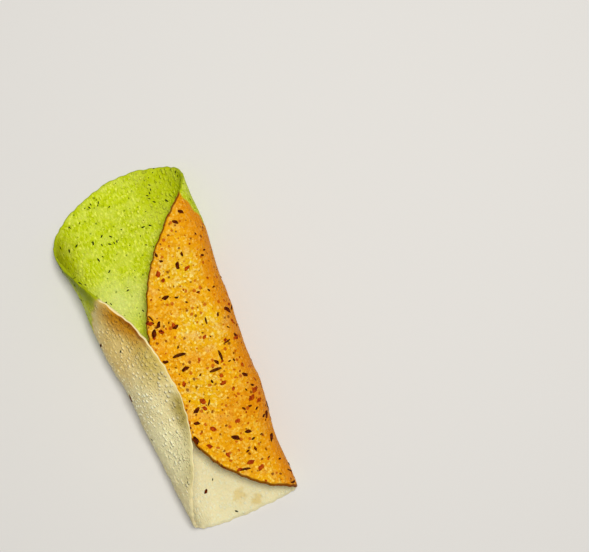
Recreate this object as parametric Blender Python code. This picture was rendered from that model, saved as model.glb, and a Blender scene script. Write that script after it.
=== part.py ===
"""A papadum: one thin round disc of lentil dough in three colours, rolled up while it was hot.

The disc is described flat first. Every straight line of the roll runs towards one far point,
so the roll is a piece of a cone and the dough bends without stretching. The middle of the
disc stays flat and is what the roll rests on. Lengths are in metres, +Z is up, and +Y points
along the roll to its wide end.
"""

from math import atan2, cos, hypot, pi, radians, sin, tau
from random import Random

import bmesh
import bpy
import numpy as np
from mathutils import Matrix, Vector

# The flat disc
DISC_RADIUS = 0.095
THICKNESS = 0.0012
RIM_WAVES = ((2, 0.007, 72), (3, 0.034, -111), (4, 0.007, -62), (5, 0.010, 126))
CELLS_ACROSS = 52
CELLS_ALONG = 38

# The roll, from the flat strip under the disc's middle to each flap's rim
APEX_DISTANCE = 0.515
STRIP_LEFT = 0.021
STRIP_RIGHT = 0.016
LEFT_BEND_RADIUS = 0.0147
LEFT_BEND_ANGLE = radians(85)
LEFT_FLAP_RADIUS = 0.040
RIGHT_BEND_RADIUS = 0.0143
RIGHT_BEND_ANGLE = radians(178)
RIGHT_FLAP_RADIUS = 0.156
BEND_EASE = 0.004
RULING_STEP = 0.0003
HALF_REACH = 0.135

# Puffed blisters that frying leaves in the sheet, each moved off its grid place by a share
# of the spacing
BLISTER_SPACING = 0.0125
BLISTER_JITTER = 0.3
BLISTER_RADIUS = (0.0050, 0.0075)
BLISTER_HEIGHT = (0.0005, 0.0010)
RELIEF_EASE = 0.010
SEED = 41

# Slow waves of the whole sheet: two of them cross, the second longer, each leaning to a side
WAVE_HEIGHT = 0.0010
WAVE_LENGTH = 0.048
FIRST_WAVE_LEAN = 0.6
SECOND_WAVE_LEAN = -0.4
SECOND_WAVE_PACE = 0.7
SECOND_WAVE_START = 1.9

# The three doughs, as sectors of the disc in degrees from +X towards +Y. Their borders swing
# from side to side by the wobble, in half turns between the middle and the rim.
ORANGE_TO_GREEN = 53
GREEN_TO_CREAM = 156
CREAM_TO_ORANGE = 291
BORDER_WOBBLE = 1
BORDER_HALF_TURNS = 3
DOUGHS = {
    "orange_dough": ((0.80, 0.36, 0.05, 1.0), 0.55),
    "green_dough": ((0.52, 0.60, 0.04, 1.0), 0.55),
    "cream_dough": ((0.82, 0.76, 0.50, 1.0), 0.55),
}
GRAIN_FINISH = ((0.06, 0.03, 0.015, 1.0), 0.6)

# Grains in the dough: name, how many, half length, half width, half height. They keep a gap
# to each other and to the rim, and the outer ones stay off the strip that the roll rests on.
GRAINS = (
    ("cumin", 10, 0.0027, 0.0009, 0.0008),
    ("chilli_flake", 18, 0.0020, 0.0013, 0.0006),
    ("pepper_piece", 38, 0.0014, 0.0010, 0.0008),
)
GRAIN_SIDES = 5
GRAIN_RINGS = 4
GRAIN_GAP = 0.0095
RIM_MARGIN = 0.005
OUTER_SHARE = 0.62


def clear_scene():
    for old in list(bpy.data.objects):
        bpy.data.objects.remove(old, do_unlink=True)


def ease(value, start, end):
    """0 before start, 1 after end, smooth between."""
    share = np.clip((value - start) / (end - start), 0.0, 1.0)
    return share * share * (3.0 - 2.0 * share)


def rim_radius(angle):
    """The hand rolled disc is a little out of round."""
    waves = sum(size * cos(count * angle - radians(turn)) for count, size, turn in RIM_WAVES)
    return DISC_RADIUS * (1.0 + waves)


def disc_place(u, v):
    """A place in the square from -1 to 1 both ways, moved to its place in the round disc."""
    reach = max(abs(u), abs(v))
    if reach == 0.0:
        return 0.0, 0.0
    if abs(u) >= abs(v):
        angle = pi / 4 * v / u + (pi if u < 0 else 0.0)
    else:
        angle = pi / 2 - pi / 4 * u / v + (pi if v < 0 else 0.0)
    radius = reach * rim_radius(angle)
    return radius * cos(angle), radius * sin(angle)


def curvature(along_arc):
    """How sharply the sheet bends, in 1/m, at a distance across it from the disc's middle."""
    def step(start):
        return 0.5 + 0.5 * np.tanh((along_arc - start) / BEND_EASE)

    left_end = -STRIP_LEFT - LEFT_BEND_RADIUS * LEFT_BEND_ANGLE
    right_end = STRIP_RIGHT + RIGHT_BEND_RADIUS * RIGHT_BEND_ANGLE
    left_bend = (step(left_end) - step(-STRIP_LEFT)) / LEFT_BEND_RADIUS
    left_flap = (1.0 - step(left_end)) / LEFT_FLAP_RADIUS
    right_bend = (step(STRIP_RIGHT) - step(right_end)) / RIGHT_BEND_RADIUS
    right_flap = step(right_end) / RIGHT_FLAP_RADIUS
    bend = left_bend + left_flap + right_bend + right_flap
    past_left = ease(along_arc, -STRIP_LEFT + BEND_EASE, -STRIP_LEFT + 2 * BEND_EASE)
    past_right = ease(along_arc, STRIP_RIGHT - 2 * BEND_EASE, STRIP_RIGHT - BEND_EASE)
    return bend * (1.0 - past_left * (1.0 - past_right))


def turn_frame(frame, bend, step):
    """Turn the ruling, across and inward directions together over one small step."""
    change = np.array([[0, 1, 0], [-1, 0, bend], [0, -bend, 0]])
    speed = hypot(1.0, bend)
    unit = change / speed
    turn = np.eye(3) + sin(speed * step) * unit + (1.0 - cos(speed * step)) * unit @ unit
    return turn @ frame


def roll_rulings():
    """For each ruling: its distance across, and its ruling, across and inward directions."""
    steps = round(HALF_REACH / RULING_STEP)
    arcs = np.arange(-steps, steps + 1) * RULING_STEP
    bends = curvature(arcs) * APEX_DISTANCE
    frames = np.zeros((2 * steps + 1, 3, 3))
    frames[steps] = np.array([[0, 1, 0], [1, 0, 0], [0, 0, 1]])
    for direction in (1, -1):
        for index in range(steps, 2 * steps) if direction > 0 else range(steps, 0, -1):
            bend = 0.5 * (bends[index] + bends[index + direction])
            angle = direction * RULING_STEP / APEX_DISTANCE
            frames[index + direction] = turn_frame(frames[index], bend, angle)
    return arcs, frames


class Roll:
    """Carries places on the flat disc to their places in the rolled sheet."""

    def __init__(self):
        self.arcs, self.frames = roll_rulings()

    def directions(self, x, y):
        """The ruling, across and inward directions at a place on the flat disc."""
        arc = atan2(x, APEX_DISTANCE + y) * APEX_DISTANCE
        found = []
        for row in range(3):
            axes = [np.interp(arc, self.arcs, self.frames[:, row, axis]) for axis in range(3)]
            found.append(Vector(axes).normalized())
        return found

    def place(self, x, y, inward):
        """Where a place on the flat disc lies in the roll, moved inwards by a distance."""
        ruling, _, up = self.directions(x, y)
        point = ruling * hypot(x, APEX_DISTANCE + y) + up * inward
        point.y -= APEX_DISTANCE
        return point


def in_strip(x, y):
    """1 on the flat strip that the roll rests on, 0 away from it."""
    arc = atan2(x, APEX_DISTANCE + y) * APEX_DISTANCE
    left = ease(arc, -STRIP_LEFT - RELIEF_EASE, -STRIP_LEFT)
    right = 1.0 - ease(arc, STRIP_RIGHT, STRIP_RIGHT + RELIEF_EASE)
    return float(left * right)


def make_blisters():
    """Seeded blisters on a loose grid: x, y, radius, height outside and height inside."""
    draw = Random(SEED)
    rows = round(DISC_RADIUS / BLISTER_SPACING) + 1
    blisters = []
    for row in range(-rows, rows + 1):
        for column in range(-rows, rows + 1):
            x = (column + 0.5 * (row % 2) + draw.uniform(-BLISTER_JITTER, BLISTER_JITTER)) * BLISTER_SPACING
            y = (row + draw.uniform(-BLISTER_JITTER, BLISTER_JITTER)) * BLISTER_SPACING
            radius = draw.uniform(*BLISTER_RADIUS)
            outside = draw.uniform(*BLISTER_HEIGHT)
            inside = draw.uniform(*BLISTER_HEIGHT)
            blisters.append((x, y, radius, outside, inside))
    return np.array(blisters)


def puff(blisters, x, y):
    """How far the two faces stand out at a place, outside and inside."""
    distance = np.hypot(blisters[:, 0] - x, blisters[:, 1] - y) / blisters[:, 2]
    dome = np.clip(1.0 - distance * distance, 0.0, 1.0) ** 2
    return float(np.max(dome * blisters[:, 3])), float(np.max(dome * blisters[:, 4]))


def wave(x, y):
    """How far the slow waves lift the sheet inwards at a place."""
    k = tau / WAVE_LENGTH
    first = sin(k * (x * FIRST_WAVE_LEAN + y))
    second = sin(k * SECOND_WAVE_PACE * (x * SECOND_WAVE_LEAN + y) + SECOND_WAVE_START)
    return 0.5 * WAVE_HEIGHT * (first + second)


def dough_at(x, y):
    """Which dough a place on the flat disc belongs to, as an index into DOUGHS."""
    angle = np.degrees(atan2(y, x)) % 360
    angle += BORDER_WOBBLE * sin(hypot(x, y) / DISC_RADIUS * BORDER_HALF_TURNS * pi)
    if ORANGE_TO_GREEN < angle <= GREEN_TO_CREAM:
        return 1
    if GREEN_TO_CREAM < angle <= CREAM_TO_ORANGE:
        return 2
    return 0


def new_material(name, color, roughness):
    material = bpy.data.materials.new(name)
    material.use_nodes = True
    shader = material.node_tree.nodes["Principled BSDF"]
    shader.inputs["Base Color"].default_value = color
    shader.inputs["Roughness"].default_value = roughness
    shader.inputs["Metallic"].default_value = 0.0
    return material


def make_sheet(roll):
    """The rolled sheet: one triangulated disc, extruded to two faces that are split alike."""
    mesh = bmesh.new()
    bmesh.ops.create_grid(mesh, x_segments=CELLS_ACROSS, y_segments=CELLS_ALONG, size=1.0)
    for vertex in mesh.verts:
        x, y = disc_place(vertex.co.x, vertex.co.y)
        vertex.co = (x, y, 0.0)
    bmesh.ops.triangulate(mesh, faces=mesh.faces[:])
    for face in mesh.faces:
        middle = face.calc_center_median()
        face.material_index = dough_at(middle.x, middle.y)
    outer = mesh.verts[:]
    skin = bmesh.ops.extrude_face_region(mesh, geom=mesh.faces[:], use_keep_orig=True)
    inner = [item for item in skin["geom"] if isinstance(item, bmesh.types.BMVert)]
    blisters = make_blisters()
    for vertices, is_inner in ((outer, False), (inner, True)):
        for vertex in vertices:
            x, y = vertex.co.x, vertex.co.y
            free = 1.0 - in_strip(x, y)
            outside, inside = puff(blisters, x, y)
            shift = THICKNESS + inside if is_inner else -outside * free
            vertex.co = roll.place(x, y, shift + wave(x, y) * free)
    bmesh.ops.triangulate(mesh, faces=[face for face in mesh.faces if len(face.verts) > 3])
    bmesh.ops.recalc_face_normals(mesh, faces=mesh.faces[:])
    return finish_object(mesh, "papadum", [new_material(name, *look) for name, look in DOUGHS.items()])


def finish_object(mesh, name, materials):
    data = bpy.data.meshes.new(name)
    mesh.to_mesh(data)
    mesh.free()
    for material in materials:
        data.materials.append(material)
    data.shade_smooth()
    made = bpy.data.objects.new(name, data)
    bpy.context.scene.collection.objects.link(made)
    return made


def grain_spots():
    """Seeded places for the grains, largest first, spread evenly and apart from each other."""
    draw = Random(SEED + 1)
    spots = []
    for name, count, *half_sizes in GRAINS:
        wanted = len(spots) + count
        while len(spots) < wanted:
            angle = draw.uniform(0.0, tau)
            radius = (rim_radius(angle) - RIM_MARGIN) * draw.random() ** 0.5
            x, y = radius * cos(angle), radius * sin(angle)
            outside = draw.random() < OUTER_SHARE
            near = any(hypot(x - spot[1], y - spot[2]) < GRAIN_GAP for spot in spots)
            if near or (outside and in_strip(x, y) > 0.0):
                continue
            spots.append((name, x, y, outside, draw.uniform(0.0, pi), half_sizes))
    return spots


def make_grain(roll, blisters, material, spot, number):
    """One coarse grain, half sunk in the face that it shows on."""
    name, x, y, outside, turn, (half_length, half_width, half_height) = spot
    ruling, across, up = roll.directions(x, y)
    free = 1.0 - in_strip(x, y)
    out_lift, in_lift = puff(blisters, x, y)
    shift = -out_lift * free if outside else THICKNESS + in_lift
    centre = roll.place(x, y, shift + wave(x, y) * free)
    mesh = bmesh.new()
    bmesh.ops.create_uvsphere(mesh, u_segments=GRAIN_SIDES, v_segments=GRAIN_RINGS, radius=1.0)
    bmesh.ops.triangulate(mesh, faces=mesh.faces[:])
    lengthwise = Matrix.Rotation(pi / 2, 4, "Y")
    sizes = Matrix.Diagonal((half_length, half_width, half_height, 1.0))
    axes = Matrix((across, ruling, up)).transposed().to_4x4()
    spin = Matrix.Rotation(turn, 4, "Z")
    placed = Matrix.Translation(centre) @ axes @ spin @ sizes @ lengthwise
    bmesh.ops.transform(mesh, matrix=placed, verts=mesh.verts[:])
    bmesh.ops.recalc_face_normals(mesh, faces=mesh.faces[:])
    return finish_object(mesh, f"{name}_{number}", [material])


def fuse_grains(sheet, roll):
    """Join all grains to the sheet with one union, then remove the loose ones."""
    group = bpy.data.collections.new("grains")
    bpy.context.scene.collection.children.link(group)
    material = new_material("grains", *GRAIN_FINISH)
    blisters = make_blisters()
    for number, spot in enumerate(grain_spots()):
        grain = make_grain(roll, blisters, material, spot, number)
        bpy.context.scene.collection.objects.unlink(grain)
        group.objects.link(grain)
    union = sheet.modifiers.new("grains", "BOOLEAN")
    union.operation = "UNION"
    union.operand_type = "COLLECTION"
    union.collection = group
    union.solver = "EXACT"
    union.material_mode = "TRANSFER"
    apply_modifiers(sheet)
    for grain in list(group.objects):
        bpy.data.objects.remove(grain, do_unlink=True)
    bpy.data.collections.remove(group)


def apply_modifiers(made):
    """Keep the evaluated mesh as the object's own mesh."""
    graph = bpy.context.evaluated_depsgraph_get()
    fused = bpy.data.meshes.new_from_object(made.evaluated_get(graph))
    fused.name = made.name
    made.modifiers.clear()
    made.data = fused


def centre_on_floor(made):
    """Put the origin at the middle of the bottom of the object's box."""
    corners = np.array([vertex.co for vertex in made.data.vertices])
    low, high = corners.min(axis=0), corners.max(axis=0)
    shift = Vector((-(low[0] + high[0]) / 2, -(low[1] + high[1]) / 2, -low[2]))
    made.data.transform(Matrix.Translation(shift))


def main():
    clear_scene()
    roll = Roll()
    sheet = make_sheet(roll)
    fuse_grains(sheet, roll)
    centre_on_floor(sheet)
    print("papadum faces:", len(sheet.data.polygons))


main()
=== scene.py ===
# %% [markdown]
# A papadum is a thin round of lentil dough, rolled out, dried, fried for a few seconds and,
# while it is still soft from the oil, rolled up. This one has three doughs side by side:
# orange, green and cream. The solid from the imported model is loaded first, because every
# finished piece has to stay where that solid is.

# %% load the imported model
from math import cos, hypot, pi, radians, sin, tau
from random import Random

import bpy
import numpy as np
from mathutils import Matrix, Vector


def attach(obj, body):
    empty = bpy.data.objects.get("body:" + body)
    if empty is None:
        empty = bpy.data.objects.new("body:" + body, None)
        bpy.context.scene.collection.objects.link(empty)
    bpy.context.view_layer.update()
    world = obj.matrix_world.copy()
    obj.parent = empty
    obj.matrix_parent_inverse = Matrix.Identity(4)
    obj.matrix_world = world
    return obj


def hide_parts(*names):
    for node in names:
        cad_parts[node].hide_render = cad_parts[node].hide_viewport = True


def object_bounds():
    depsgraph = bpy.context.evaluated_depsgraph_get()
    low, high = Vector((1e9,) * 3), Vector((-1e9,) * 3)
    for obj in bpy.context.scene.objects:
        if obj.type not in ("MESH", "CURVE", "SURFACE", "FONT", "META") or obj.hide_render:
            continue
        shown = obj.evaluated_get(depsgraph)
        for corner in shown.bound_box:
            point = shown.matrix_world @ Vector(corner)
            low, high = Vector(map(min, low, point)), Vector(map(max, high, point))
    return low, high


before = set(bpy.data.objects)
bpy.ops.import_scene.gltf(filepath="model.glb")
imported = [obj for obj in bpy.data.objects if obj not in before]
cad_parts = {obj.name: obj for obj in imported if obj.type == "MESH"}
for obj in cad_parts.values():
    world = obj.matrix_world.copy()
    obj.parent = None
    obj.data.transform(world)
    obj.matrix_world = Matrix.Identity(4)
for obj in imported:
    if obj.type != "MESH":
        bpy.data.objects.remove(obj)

solid_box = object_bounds()
print("solid box:", [[round(v, 4) for v in corner] for corner in solid_box])

# %% [markdown]
# The real roll starts as a flat disc, so the finished sheet starts as one too. The sizes are
# those of the solid: the disc's radius, its thickness, and how far away the point lies that
# every straight line of the roll runs towards. That makes the roll a piece of a cone.

# %% sizes of the disc and the roll, in metres
DISC_RADIUS = 0.095
THICKNESS = 0.0012
RIM_WAVES = ((2, 0.007, 72), (3, 0.034, -111), (4, 0.007, -62), (5, 0.010, 126))
APEX_DISTANCE = 0.515
STRIP_LEFT = 0.021
STRIP_RIGHT = 0.016
LEFT_BEND_RADIUS = 0.0147
LEFT_BEND_ANGLE = radians(85)
LEFT_FLAP_RADIUS = 0.040
RIGHT_BEND_RADIUS = 0.0143
RIGHT_BEND_ANGLE = radians(178)
RIGHT_FLAP_RADIUS = 0.156
BEND_EASE = 0.004
DISC_MIDDLE = (0.00368, -0.00377, 0.0)
MILLIMETRES = 1000.0
print("disc of", 2 * DISC_RADIUS, "m, apex", APEX_DISTANCE, "m from its middle")

# %% [markdown]
# How a sheet bends is told by one line only: the path that its straight rulings trace on a
# ball of radius one round the apex. The path's sideways bend is the sheet's curvature times
# the apex distance. Walking along it in small steps, turning by that much each time, gives
# the whole roll, and the dough never stretches, as in the real thing.

# %% the path of the rulings
RULING_STEP = 0.0003
HALF_REACH = 0.135


def ease(value, start, end):
    """0 before start, 1 after end, smooth between."""
    share = np.clip((value - start) / (end - start), 0.0, 1.0)
    return share * share * (3.0 - 2.0 * share)


def curvature(arc):
    """How sharply the sheet bends, in 1/m, at a distance across it from the disc's middle."""
    def step(start):
        return 0.5 + 0.5 * np.tanh((arc - start) / BEND_EASE)

    left_end = -STRIP_LEFT - LEFT_BEND_RADIUS * LEFT_BEND_ANGLE
    right_end = STRIP_RIGHT + RIGHT_BEND_RADIUS * RIGHT_BEND_ANGLE
    bend = (step(left_end) - step(-STRIP_LEFT)) / LEFT_BEND_RADIUS
    bend = bend + (1.0 - step(left_end)) / LEFT_FLAP_RADIUS
    bend = bend + (step(STRIP_RIGHT) - step(right_end)) / RIGHT_BEND_RADIUS
    bend = bend + step(right_end) / RIGHT_FLAP_RADIUS
    strip = ease(arc, -STRIP_LEFT + BEND_EASE, -STRIP_LEFT + 2 * BEND_EASE)
    strip = strip * (1.0 - ease(arc, STRIP_RIGHT - 2 * BEND_EASE, STRIP_RIGHT - BEND_EASE))
    return bend * (1.0 - strip)


def ruling_path():
    """Points of the path on the unit ball, from the left flap's side to the right flap's."""
    steps = round(HALF_REACH / RULING_STEP)
    arcs = np.arange(-steps, steps + 1) * RULING_STEP
    bends = curvature(arcs) * APEX_DISTANCE
    path = np.zeros((2 * steps + 1, 3))
    for direction in (1, -1):
        frame_now = np.array([[0.0, 1.0, 0.0], [1.0, 0.0, 0.0], [0.0, 0.0, 1.0]])
        path[steps] = frame_now[0]
        for count in range(steps):
            index = steps + direction * count
            bend = 0.5 * (bends[index] + bends[index + direction])
            change = np.array([[0, 1, 0], [-1, 0, bend], [0, -bend, 0]])
            speed = hypot(1.0, bend)
            turn = speed * direction * RULING_STEP / APEX_DISTANCE
            unit = change / speed
            frame_now = (np.eye(3) + sin(turn) * unit + (1.0 - cos(turn)) * unit @ unit) @ frame_now
            path[index + direction] = frame_now[0]
    return path


def new_object(name, data):
    """An object for some data, linked to the scene."""
    made = bpy.data.objects.new(name, data)
    bpy.context.scene.collection.objects.link(made)
    return made


def make_path_object():
    """The ruling path as a curve object that a node tree can sample."""
    points = ruling_path()
    curve = bpy.data.curves.new("ruling_path", "CURVE")
    curve.dimensions = "3D"
    spline = curve.splines.new("POLY")
    spline.points.add(len(points) - 1)
    spline.points.foreach_set("co", np.column_stack([points, np.ones(len(points))]).ravel())
    return new_object("ruling_path", curve)


path_object = make_path_object()
print("ruling path points:", len(path_object.data.splines[0].points))

# %% [markdown]
# The flat disc is a square grid of small cells pressed into a round outline, so its cells
# stay nearly even and its rim is a clean loop. It is a closed shell with a lower and an upper
# skin. The height of a point is only its share of the thickness, 0 on the skin that becomes
# the outside of the roll and 1 on the skin inside. Three rows round off the cut rim.

# %% the flat disc
CELLS_ACROSS = 226
CELLS_ALONG = 190
RIM_BULGE = 0.0005
RIM_ROWS = ((0.12, 0.55), (0.5, 1.0), (0.88, 0.55))
RIM_NOTCH = 0.0007
NOTCH_COUNTS = (17, 29, 43, 71, 113)
NOTCH_FADE = 12
SEED = 41


def rim_radius(angle):
    """The hand rolled disc is a little out of round."""
    waves = sum(size * np.cos(count * angle - radians(turn)) for count, size, turn in RIM_WAVES)
    return DISC_RADIUS * (1.0 + waves)


def rim_nibble(angle):
    """Small uneven notches that a dry rim gets, always inwards."""
    draw = Random(SEED + 7)
    depth = np.zeros_like(angle)
    for count in NOTCH_COUNTS:
        depth += np.sin(count * angle + draw.uniform(0.0, tau)) / len(NOTCH_COUNTS)
    return RIM_NOTCH * np.clip(0.5 + depth, 0.0, 1.0)


def flat_grid():
    """Places of the grid's corners in the round disc, as arrays of angle and share of radius."""
    u, v = np.meshgrid(np.linspace(-1, 1, CELLS_ACROSS + 1), np.linspace(-1, 1, CELLS_ALONG + 1))
    reach = np.maximum(np.abs(u), np.abs(v))
    wide = np.abs(u) >= np.abs(v)
    side_ratio = np.where(wide, v / np.where(u == 0, 1, u), u / np.where(v == 0, 1, v))
    angle = np.where(wide, pi / 4 * side_ratio, pi / 2 - pi / 4 * side_ratio)
    angle = angle + np.where(np.where(wide, u, v) < 0, pi, 0.0)
    return angle, reach


def make_flat_disc():
    """The closed flat shell, with z as the share of the thickness."""
    angle, reach = flat_grid()
    radius = reach * (rim_radius(angle) - RIM_BULGE - rim_nibble(angle) * reach ** NOTCH_FADE)
    skin = np.stack([radius * np.cos(angle), radius * np.sin(angle)], axis=-1).reshape(-1, 2)
    count = len(skin)
    index = np.arange(count).reshape(CELLS_ALONG + 1, CELLS_ACROSS + 1)
    cells = np.stack([index[:-1, :-1], index[:-1, 1:], index[1:, 1:], index[1:, :-1]], axis=-1)
    cells = cells.reshape(-1, 4)
    loop = np.concatenate([index[0, :-1], index[:-1, -1], index[-1, :0:-1], index[:0:-1, 0]])
    corners = [np.column_stack([skin, np.zeros(count)]), np.column_stack([skin, np.ones(count)])]
    faces = [cells[:, ::-1], cells + count]
    rings = [loop]
    outward = skin[loop] / np.linalg.norm(skin[loop], axis=1, keepdims=True)
    for row, (level, share) in enumerate(RIM_ROWS):
        ring = skin[loop] + outward * RIM_BULGE * share
        corners.append(np.column_stack([ring, np.full(len(loop), level)]))
        rings.append(2 * count + row * len(loop) + np.arange(len(loop)))
    rings.append(loop + count)
    for low, high in zip(rings[:-1], rings[1:]):
        faces.append(np.column_stack([low, np.roll(low, -1), np.roll(high, -1), high]))
    mesh = bpy.data.meshes.new("papadum_sheet")
    mesh.from_pydata(np.vstack(corners).tolist(), [], np.vstack(faces).tolist())
    mesh.update()
    return mesh


flat_mesh = make_flat_disc()
print("flat shell:", len(flat_mesh.vertices), "corners,", len(flat_mesh.polygons), "faces")

# %% [markdown]
# The doughs are three sectors that meet near the middle of the disc. Their borders wander a
# little, because the doughs are pressed together by hand. Each point of the sheet keeps how
# much of each dough it has, so that the colour and the scattered spices can both read it. The
# doughs also puff up differently: the orange one little, the green one most inside the roll
# next to the orange, and the cream one mostly outside.

# %% where each dough lies, in degrees round the disc
ORANGE_TO_GREEN = 53
GREEN_TO_CREAM = 156
CREAM_TO_ORANGE = 291
BORDER_HALF_WAVES = 3
BORDER_WOBBLE = 1
FINE_WOBBLE = (0.5, 700)
BORDER_BLEND = 0.0028
EVEN_PUFF = 0.50
LEVEL_PUFF = 0.65
PUFF_SIDE = (-0.010, 0.020)


def border_share(x, y, degrees, phase):
    """How far a place is past the border that runs outwards at an angle, 0 to 1."""
    wobble = np.sin(np.hypot(x, y) / DISC_RADIUS * BORDER_HALF_WAVES * pi) * BORDER_WOBBLE
    wobble = wobble + FINE_WOBBLE[0] * np.sin(np.hypot(x, y) * FINE_WOBBLE[1] + phase)
    turn = np.radians(degrees - wobble)
    across = y * np.cos(turn) - x * np.sin(turn)
    return ease(across, -BORDER_BLEND, BORDER_BLEND)


def degrees_round(x, y):
    """The angle of a place round the disc, 0 to 360."""
    return np.degrees(np.arctan2(y, x)) % 360


def dough_shares(x, y):
    """Shares of green, cream and orange dough, which add up to one."""
    after_orange = border_share(x, y, ORANGE_TO_GREEN, 0.3)
    after_green = border_share(x, y, GREEN_TO_CREAM, 1.7)
    after_cream = border_share(x, y, CREAM_TO_ORANGE, 4.1)
    green = after_orange * (1.0 - after_green)
    cream = np.maximum(after_green, 1.0 - after_orange) * (1.0 - after_cream)
    cream = np.where(degrees_round(x, y) < 90, 0.0, cream)
    cream = np.clip(cream, 0.0, 1.0 - green)
    return np.column_stack([green, cream, 1.0 - green - cream])


def store(mesh, name, kind, values):
    """Keep one value for each corner under a name."""
    attribute = mesh.attributes.new(name, kind, "POINT")
    field = "vector" if kind == "FLOAT_VECTOR" else "value"
    attribute.data.foreach_set(field, np.ascontiguousarray(values, dtype=np.float32).ravel())


flat_places = np.zeros(len(flat_mesh.vertices) * 3, dtype=np.float32)
flat_mesh.vertices.foreach_get("co", flat_places)
flat_x, flat_y, level = flat_places.reshape(-1, 3).astype(float).T
shares = dough_shares(flat_x, flat_y)
store(flat_mesh, "dough", "FLOAT_VECTOR", shares)
green, cream, orange = shares.T
green_puff = EVEN_PUFF + LEVEL_PUFF * level * ease(flat_x, *PUFF_SIDE)
cream_puff = 1.0 - LEVEL_PUFF * level
puffiness = green_puff * green + cream_puff * cream + EVEN_PUFF * orange
store(flat_mesh, "puffiness", "FLOAT", puffiness)
print("dough shares green, cream, orange:", shares.mean(axis=0).round(2))

# %% [markdown]
# A sheet's rim is thin and fries the hottest, so the brown band behind the rim of the curled
# flap is its own colour. The dark band right at that rim is partly scorch and partly painted
# shadow under the rim's edge. The other bands are painted shade: the khaki band and, further
# down, the tan band where the curled flap turns away from the light near its rim, the olive
# band on the green's outer skin at the left, and inside the roll the deep band in the throat
# by the right fold and the left band on the steep left wall. The bands follow the rim, so they
# are worked out from the distance to it and the angle round the disc.

# %% the bands along the rim, toasted and painted shade
BANDS = {
    # from and to, in degrees round the disc, fade at both ends, width in metres
    # dark red-brown at the curled flap's rim: partly scorch, partly painted shadow under the rim's edge
    "scorch_and_shadow_band": (160, 180, 8, 0.0042),
    "brown_band": (153, 179, 10, 0.0140),
    # painted shade along the lower rim of the curled flap
    "tan_shade_band": (188, 226, 8, 0.0110),
    # painted shade near the curled flap's rim, where it turns away from the light
    "khaki_shade_band": (148, 195, 14, 0.0210),
    # painted shade on the green's outer skin beside the left rim
    "olive_shade_band": (118, 158, 6, 0.0140),
    # painted shade inside the roll, in the throat by the right fold
    "deep_shade_band": (48, 88, 8, 0.0550),
    # painted shade on the steep left wall inside the roll
    "left_wall_shade_band": (106, 178, 22, 0.0280),
}


def depth_from_rim(x, y):
    """How far inside the notched rim a place lies."""
    angle = np.arctan2(y, x)
    return rim_radius(angle) - rim_nibble(angle) - np.hypot(x, y)


def between(degrees, start, end, fade):
    """1 between two angles, fading to 0 at both ends."""
    return ease(degrees, start, start + fade) * (1.0 - ease(degrees, end - fade, end))


def band_along_rim(x, y, start, end, fade, width):
    """1 at the rim between two angles, fading to 0 inwards over a width that wanders."""
    degrees = degrees_round(x, y)
    wander = 1.0 + 0.15 * np.sin(degrees * 0.21) + 0.1 * np.sin(degrees * 0.57 + 1.0)
    near = 1.0 - ease(depth_from_rim(x, y), 0.25 * width, width * wander)
    return near * between(degrees, start, end, fade)


for name, limits in BANDS.items():
    share_of_band = band_along_rim(flat_x, flat_y, *limits)
    store(flat_mesh, name, "FLOAT", share_of_band)
    print(name, "covers", round(float((share_of_band > 0.2).mean()) * 100, 1), "% of the sheet")
store(flat_mesh, "rim_depth", "FLOAT", depth_from_rim(flat_x, flat_y) * MILLIMETRES)

# %% [markdown]
# The cut edge itself dries out to a thin line: olive on the green and pale on the cream,
# where it is wider at the curled flap's top. On the orange dough the line is dark brown, partly
# the toasted edge and partly painted shadow that the flap's rim throws beside it, widest where
# the flap points to the narrow end.

# %% the width of the line along the rim, in millimetres
RIM_LINE_WIDTHS = (0.6, 0.35, 1.1)
WIDE_RIMS = (
    # from and to, in degrees round the disc, fade at both ends, extra width
    # the orange rim's wider dark line here is painted shadow under the flap's lower rim
    (285, 340, 16, 0.8),
    (158, 184, 8, 0.25),
)


def rim_line_width(x, y):
    """Each dough's own width, and more on two stretches of the rim."""
    width = shares @ RIM_LINE_WIDTHS
    for start, end, fade, extra in WIDE_RIMS:
        width = width + extra * between(degrees_round(x, y), start, end, fade)
    return width


rim_width = rim_line_width(flat_x, flat_y)
store(flat_mesh, "rim_line_width", "FLOAT", rim_width)
print("rim line from", round(float(rim_width.min()), 2), "to", round(float(rim_width.max()), 2), "mm")

# %% [markdown]
# Frying puffs the sheet. The large blisters are the same seeded ones as in the solid, so the
# finished sheet keeps its form. They are worked out here and kept on the flat disc too.

# %% large blisters
BLISTER_SPACING = 0.0125
BLISTER_SHIFT = 0.3
BLISTER_RADIUS = (0.0050, 0.0075)
BLISTER_HEIGHT = (0.0005, 0.0010)


def large_blisters(x, y):
    """How far the outer and the inner skin stand out at each place."""
    draw = Random(SEED)
    rows = round(DISC_RADIUS / BLISTER_SPACING) + 1
    outside = np.zeros_like(x)
    inside = np.zeros_like(x)
    for row in range(-rows, rows + 1):
        for column in range(-rows, rows + 1):
            shift = draw.uniform(-BLISTER_SHIFT, BLISTER_SHIFT)
            middle_x = (column + 0.5 * (row % 2) + shift) * BLISTER_SPACING
            middle_y = (row + draw.uniform(-BLISTER_SHIFT, BLISTER_SHIFT)) * BLISTER_SPACING
            radius = draw.uniform(*BLISTER_RADIUS)
            away = ((x - middle_x) ** 2 + (y - middle_y) ** 2) / radius ** 2
            dome = np.clip(1.0 - away, 0.0, 1.0) ** 2
            outside = np.maximum(outside, dome * draw.uniform(*BLISTER_HEIGHT))
            inside = np.maximum(inside, dome * draw.uniform(*BLISTER_HEIGHT))
    return outside, inside


outside_puff, inside_puff = large_blisters(flat_x, flat_y)
store(flat_mesh, "outside_puff", "FLOAT", outside_puff)
store(flat_mesh, "inside_puff", "FLOAT", inside_puff)
print("large blisters are up to", round(float(outside_puff.max()) * MILLIMETRES, 2), "mm high")

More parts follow.
